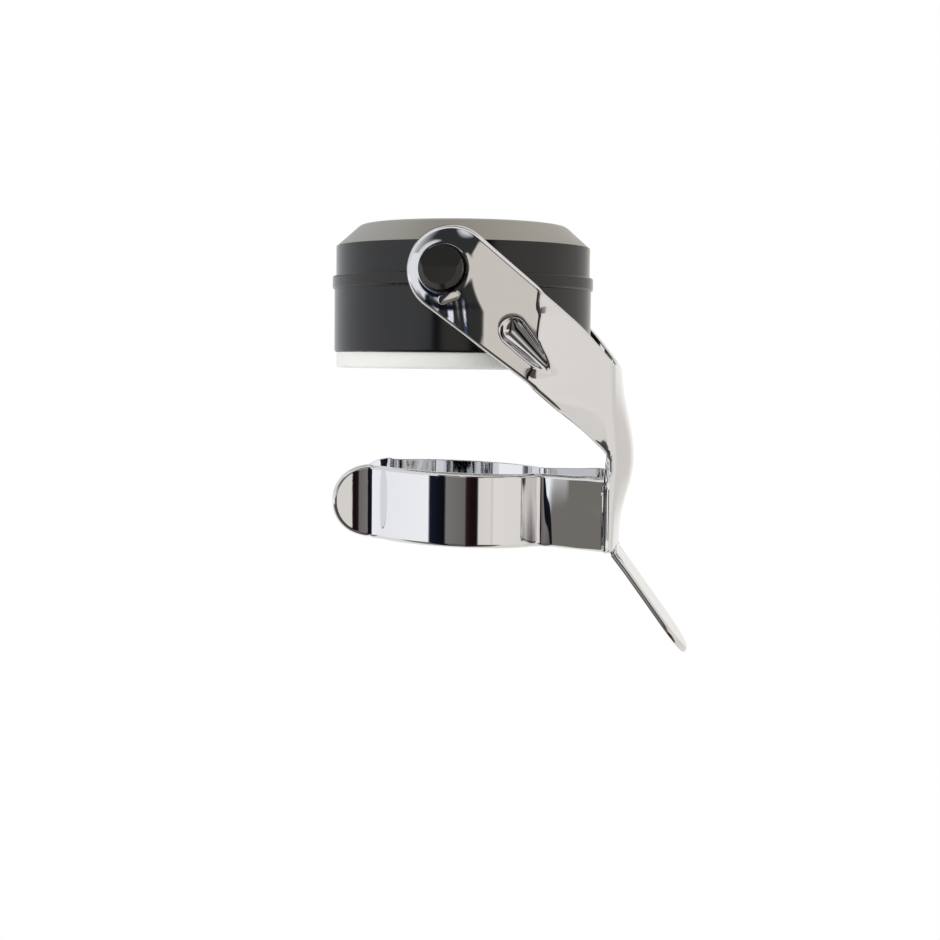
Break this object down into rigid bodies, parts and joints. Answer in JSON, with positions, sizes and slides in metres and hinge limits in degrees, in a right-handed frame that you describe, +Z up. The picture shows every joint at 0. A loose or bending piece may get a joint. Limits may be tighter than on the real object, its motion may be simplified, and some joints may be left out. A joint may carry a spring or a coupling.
{
  "type": "champagne stopper",
  "caption": "Round sprung cap that seals a sparkling-wine bottle, locked by a hinged chromed lever whose collar snaps round the neck.",
  "frame": {"origin": "on the cap's axis, level with the underside of the white ring, at the mouth of the bore that takes the bottle", "axes": "+Z up along the cap's axis, +X towards the back of the lever, Y along the lever's hinge"},
  "size_m": [0.0564, 0.0498, 0.0661],
  "materials": {
    "chromed_steel": "polished chrome plate on pressed steel sheet",
    "brushed_steel": "satin, turned grain",
    "black_abs": "semi-gloss moulded",
    "white_nylon": "smooth moulded",
    "silicone": "soft matt",
    "inner_acetal": "moulded",
    "spring_steel": "drawn wire"
  },
  "bodies": {
    "cap": {"cap_body": "black_abs", "cap_lid": "black_abs", "retaining_ring": "white_nylon", "top_cover": "brushed_steel", "spring": "spring_steel"},
    "seal_carrier": {"seal": "silicone", "pressure_plate": "inner_acetal"},
    "lever": {"lever": "chromed_steel"}
  },
  "joints": [
    {"name": "lever_swing", "type": "hinge", "parent": "cap", "child": "lever", "pos_m": [0, 0, 0.0145], "axis": [0, -1, 0], "range_deg": [0, 180]},
    {"name": "seal_press", "type": "slide", "parent": "cap", "child": "seal_carrier", "axis": [0, 0, 1], "range_m": [0, 0.0018], "stiffness_N_per_m": 13000, "springref_m": -0.005, "deforming": ["spring"]}
  ]
}
